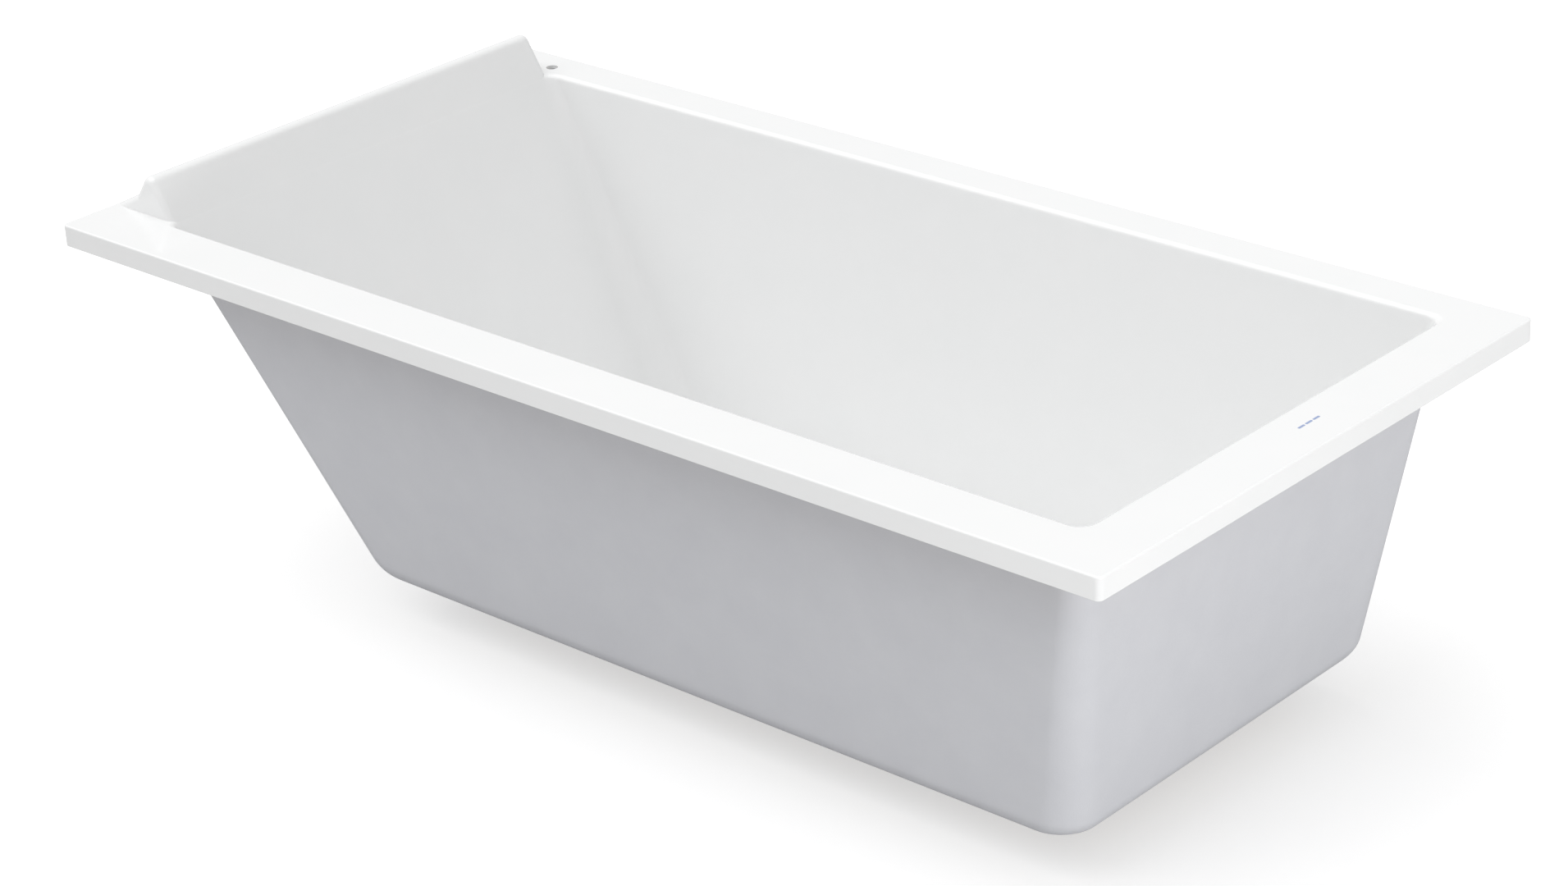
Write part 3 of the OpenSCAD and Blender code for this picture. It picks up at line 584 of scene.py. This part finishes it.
chrome, tree, shader, place = material("polished_chrome_plate", Metallic=1.0)
smear = add(tree, "ShaderNodeTexNoise", {"Vector": place, "Scale": size(12), "Detail": 5.0, "Distortion": 0.8})
bright = add(tree, "ShaderNodeMixRGB", {"Fac": smear.outputs["Fac"], "Color1": linear("#dfe2e5"),
                                        "Color2": linear("#eceeee")})
shine = add(tree, "ShaderNodeMapRange", {"Value": smear.outputs["Fac"], "From Min": 0.35, "From Max": 0.75,
                                         "To Min": 0.05, "To Max": 0.16})
tree.links.new(bright.outputs["Color"], shader.inputs["Base Color"])
tree.links.new(shine.outputs["Result"], shader.inputs["Roughness"])

# turned brass: rings 0.4 mm apart left by the tool, drawn 0.8 mm apart so that they show
brass, tree, shader, place = material("turned_brass", Metallic=1.0)
centred = add(tree, "ShaderNodeMapping", {"Vector": place, "Location": (-waste_x * mm, -waste_y * mm, 0)})
rings = add(tree, "ShaderNodeTexWave", {"Vector": centred.outputs["Vector"], "Scale": size(0.8) / 6.28,
                                        "Distortion": 0.3}, wave_type="RINGS", rings_direction="Z")
tarnish = add(tree, "ShaderNodeTexNoise", {"Vector": place, "Scale": size(6), "Detail": 3.0})
gold = add(tree, "ShaderNodeMixRGB", {"Fac": tarnish.outputs["Fac"], "Color1": linear("#c9a25a"),
                                      "Color2": linear("#ad8443")})
tooled = add(tree, "ShaderNodeMapRange", {"Value": rings.outputs["Fac"], "To Min": 0.22, "To Max": 0.36})
tree.links.new(gold.outputs["Color"], shader.inputs["Base Color"])
tree.links.new(tooled.outputs["Result"], shader.inputs["Roughness"])

# moulded polypropylene: off-white, faintly cloudy, with the fine texture of a spark-eroded mould
plastic, tree, shader, place = material("moulded_polypropylene", IOR=1.49, Subsurface_Weight=0.08,
                                        Subsurface_Scale=0.002)
cloud = add(tree, "ShaderNodeTexNoise", {"Vector": place, "Scale": size(20), "Detail": 3.0})
milk = add(tree, "ShaderNodeMixRGB", {"Fac": cloud.outputs["Fac"], "Color1": linear("#e4e4e0"),
                                      "Color2": linear("#ededea")})
spark = add(tree, "ShaderNodeTexNoise", {"Vector": place, "Scale": size(0.7), "Detail": 2.0})
satin = add(tree, "ShaderNodeMapRange", {"Value": spark.outputs["Fac"], "To Min": 0.38, "To Max": 0.55})
tooth = add(tree, "ShaderNodeBump", {"Height": spark.outputs["Fac"], "Strength": 0.15, "Distance": 0.0002})
tree.links.new(milk.outputs["Color"], shader.inputs["Base Color"])
tree.links.new(satin.outputs["Result"], shader.inputs["Roughness"])
tree.links.new(tooth.outputs["Normal"], shader.inputs["Normal"])

for node, width, finish in (("drain_flange", 0.5, chrome), ("flange_seal", 0.25, rubber),
                            ("drain_gasket", 0.6, rubber), ("drain_body", 0.7, plastic),
                            ("outlet_seal", 0.6, rubber)):
    eased(node, width, finish)


def towards_far(grid, centre_z):
    """Lays an upright turned grid down, so that its axis runs towards the far side at that height:
    height becomes the distance along, and the old Y becomes the height."""
    return np.stack([grid[:, :, 0], grid[:, :, 2], centre_z + grid[:, :, 1]], -1)


outlet_z = (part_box("outlet_pipe")[0].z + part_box("outlet_pipe")[1].z) / 2 / mm
tail_start, pipe_end = (c.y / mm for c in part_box("outlet_pipe"))
nut_start, nut_end = (c.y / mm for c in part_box("outlet_nut"))
tail_end = tail_start + 26

# the pipe has a slimmer tail that slides into the spigot
pipe_line = softened([(15.5, tail_start), (17, tail_start), (17, tail_end), (18, tail_end), (18, pipe_end),
                      (15.5, pipe_end)], 0.3, True)
piece("outlet_pipe_piece", [(towards_far(turned(*pipe_line.T, waste_x, 0, 64), outlet_z), True)], plastic, "tub",
      ["outlet_pipe"])

# the union nut has 18 finger ribs round it: half a cosine wave squared, 1.4 mm deep
nut_line = softened([(20.06, nut_start), (23.5, nut_start), (23.5, nut_end), (17.2, nut_end),
                     (17.2, nut_start + 13), (20.06, nut_start + 13)], 0.6, True)
angle = np.arange(144) * 2 * np.pi / 144
ribs = 1.4 * (0.5 + 0.5 * np.cos(18 * angle)) ** 2
out, along = nut_line.T
grip = ((out > 22.5) & (along > nut_start + 1.2) & (along < nut_end - 1.2)).astype(float)
grip_r = out[:, None] - ribs * grip[:, None]
piece("outlet_nut_piece", [(towards_far(turned(grip_r, along, waste_x, 0, 144), outlet_z), True)], plastic,
      "tub", ["outlet_nut"])

# ---- Push-to-open plug ---------------------------------------------------------------------
# A domed chrome cap on a brass stem, with a rubber ring under it. The stem slides in a brass
# cartridge screwed into the flange's hub, and a spring in there lifts it when it is pressed.

eased("click_cartridge", 0.4, brass)
eased("plug_stem", 0.3, brass, "plug")
eased("plug_seal", 0.5, rubber, "plug")
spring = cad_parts["click_spring"]
spring.data.materials.clear()
spring.data.materials.append(zinc)

cap_low, cap_high = (c.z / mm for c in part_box("plug_cap"))
cap_r = 31.0
dome = np.radians(np.linspace(90, 0, 24))
dome_r = (cap_r - 1.6) * np.sin(dome) + 0.25 * np.cos(dome)
dome_z = cap_low + 2.2 + (cap_high - cap_low - 2.2) * np.cos(dome) ** 1.6
cap_edge = softened([(0.25, cap_low), (cap_r, cap_low), (cap_r, cap_low + 1.9), (cap_r - 1.6, cap_low + 2.1)], 0.35)
cap_line = np.concatenate([cap_edge, np.column_stack([dome_r, dome_z])[1:]])
piece("plug_cap_piece", [(turned(*cap_line.T, waste_x, waste_y, 96), False)], chrome, "plug",
      ["plug_cap"])

# ---- Floor, light and camera ---------------------------------------------------------------
# A seamless pale studio floor, one broad soft light from above the near head corner, a weak one
# at the foot end, and an even white surround. The camera looks down from the near foot corner.

paper, tree, shader, place = material("seamless_paper", Emission_Color=linear("#ffffff"))
# it glows only in the picture, so that it stays white without lighting the tub from below
seen = add(tree, "ShaderNodeLightPath")
glow = add(tree, "ShaderNodeMapRange", {"Value": seen.outputs["Is Camera Ray"], "To Min": 0.02, "To Max": 0.56})
tree.links.new(glow.outputs["Result"], shader.inputs["Emission Strength"])
# from below the sheet is clear, so that the underside can be looked at
below = add(tree, "ShaderNodeNewGeometry")
clear = add(tree, "ShaderNodeBsdfTransparent")
one_way = add(tree, "ShaderNodeMixShader", {0: below.outputs["Backfacing"], 1: shader.outputs["BSDF"],
                                            2: clear.outputs["BSDF"]})
tree.links.new(one_way.outputs["Shader"], tree.nodes["Material Output"].inputs["Surface"])
fibre = add(tree, "ShaderNodeTexNoise", {"Vector": place, "Scale": size(3), "Detail": 3.0})
pale = add(tree, "ShaderNodeMixRGB", {"Fac": fibre.outputs["Fac"], "Color1": linear("#bcbcbc"),
                                      "Color2": linear("#c0c0c0")})
rough = add(tree, "ShaderNodeMapRange", {"Value": fibre.outputs["Fac"], "To Min": 0.85, "To Max": 0.95})
tree.links.new(pale.outputs["Color"], shader.inputs["Base Color"])
tree.links.new(rough.outputs["Result"], shader.inputs["Roughness"])
ground = bpy.data.meshes.new("studio_floor")
ground.from_pydata([(-9, -9, 0), (9, -9, 0), (9, 9, 0), (-9, 9, 0)], [], [(0, 1, 2, 3)])
ground.materials.append(paper)
floor = bpy.data.objects.new("studio_floor", ground)
bpy.context.scene.collection.objects.link(floor)


def light(name, kind, place, aim, power, **shape):
    """A light at place, turned towards aim."""
    lamp = bpy.data.lights.new(name, kind)
    lamp.energy = power
    for key, value in shape.items():
        setattr(lamp, key, value)
    lit = bpy.data.objects.new(name, lamp)
    back = np.array(place, float) - aim
    back /= np.linalg.norm(back)
    right = np.cross((0, 0, 1), back)
    right /= np.linalg.norm(right)
    turn = np.eye(4)
    turn[:3] = np.column_stack([right, np.cross(back, right), back, place])
    lit.matrix_world = Matrix(turn.tolist())
    bpy.context.scene.collection.objects.link(lit)


light("key_light", "SUN", (-1.4, -1.0, 4.4), (0, 0, 0.4), 1.68, angle=np.radians(70))
light("foot_light", "AREA", (3.6, -1.0, 0.22), (0.9, -0.1, 0.22), 36, shape="RECTANGLE", size=1.6, size_y=0.3)
world = bpy.data.worlds.new("studio")
world.use_nodes = True
world.node_tree.nodes["Background"].inputs["Color"].default_value = linear("#ffffff")
world.node_tree.nodes["Background"].inputs["Strength"].default_value = 0.66
bpy.context.scene.world = world
bpy.context.scene.view_settings.view_transform = "Standard"

camera = bpy.data.objects.new("camera", bpy.data.cameras.new("camera"))
camera.data.lens = 89.83
camera.data.sensor_width = 36
camera.data.shift_x = -0.0544
camera.data.shift_y = -0.0018
camera.data.clip_end = 100
azimuth, elevation, roll = 0.7215, 0.4359, -0.0376
back = np.array([np.sin(azimuth) * np.cos(elevation), -np.cos(azimuth) * np.cos(elevation), np.sin(elevation)])
right = np.array([np.cos(azimuth), np.sin(azimuth), 0])
up = np.cross(back, right)
pose = np.eye(4)
aim, distance = np.array([0.4594, -0.3256, 0.538]), 4.6737
pose[:3] = np.column_stack([right * np.cos(roll) + up * np.sin(roll), up * np.cos(roll) - right * np.sin(roll),
                            back, aim + distance * back])
camera.matrix_world = Matrix(pose.tolist())
bpy.context.scene.collection.objects.link(camera)
bpy.context.scene.camera = camera
